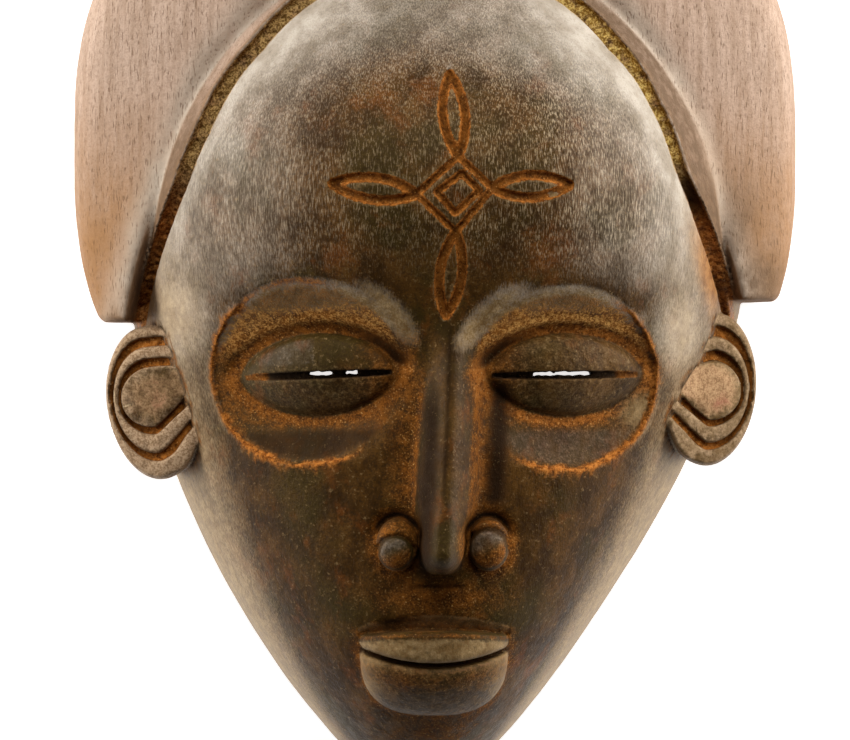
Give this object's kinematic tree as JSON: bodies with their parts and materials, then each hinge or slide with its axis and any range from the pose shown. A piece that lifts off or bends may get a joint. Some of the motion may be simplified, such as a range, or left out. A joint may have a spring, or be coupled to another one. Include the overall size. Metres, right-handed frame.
{
  "type": "carved wooden face mask",
  "caption": "Carved wooden face mask with a rounded coiffure, sunken round eye sockets, slit lids, a narrow nose, slab lips and ringed ears, hollow behind.",
  "frame": {"origin": "centre of the flat back, on the plane the mask lies on", "axes": "+Y from the chin to the crown, +Z out of the back towards the viewer of the face, +X to that viewer's right"},
  "size_m": [0.2144, 0.2919, 0.1079],
  "materials": {
    "patinated_wood": "hand-carved wood, dark smoked patina on the face, bare pale wood on the coiffure, rust-brown dirt in the cuts"
  },
  "bodies": {
    "root": {"mask": "patinated_wood"}
  },
  "joints": []
}
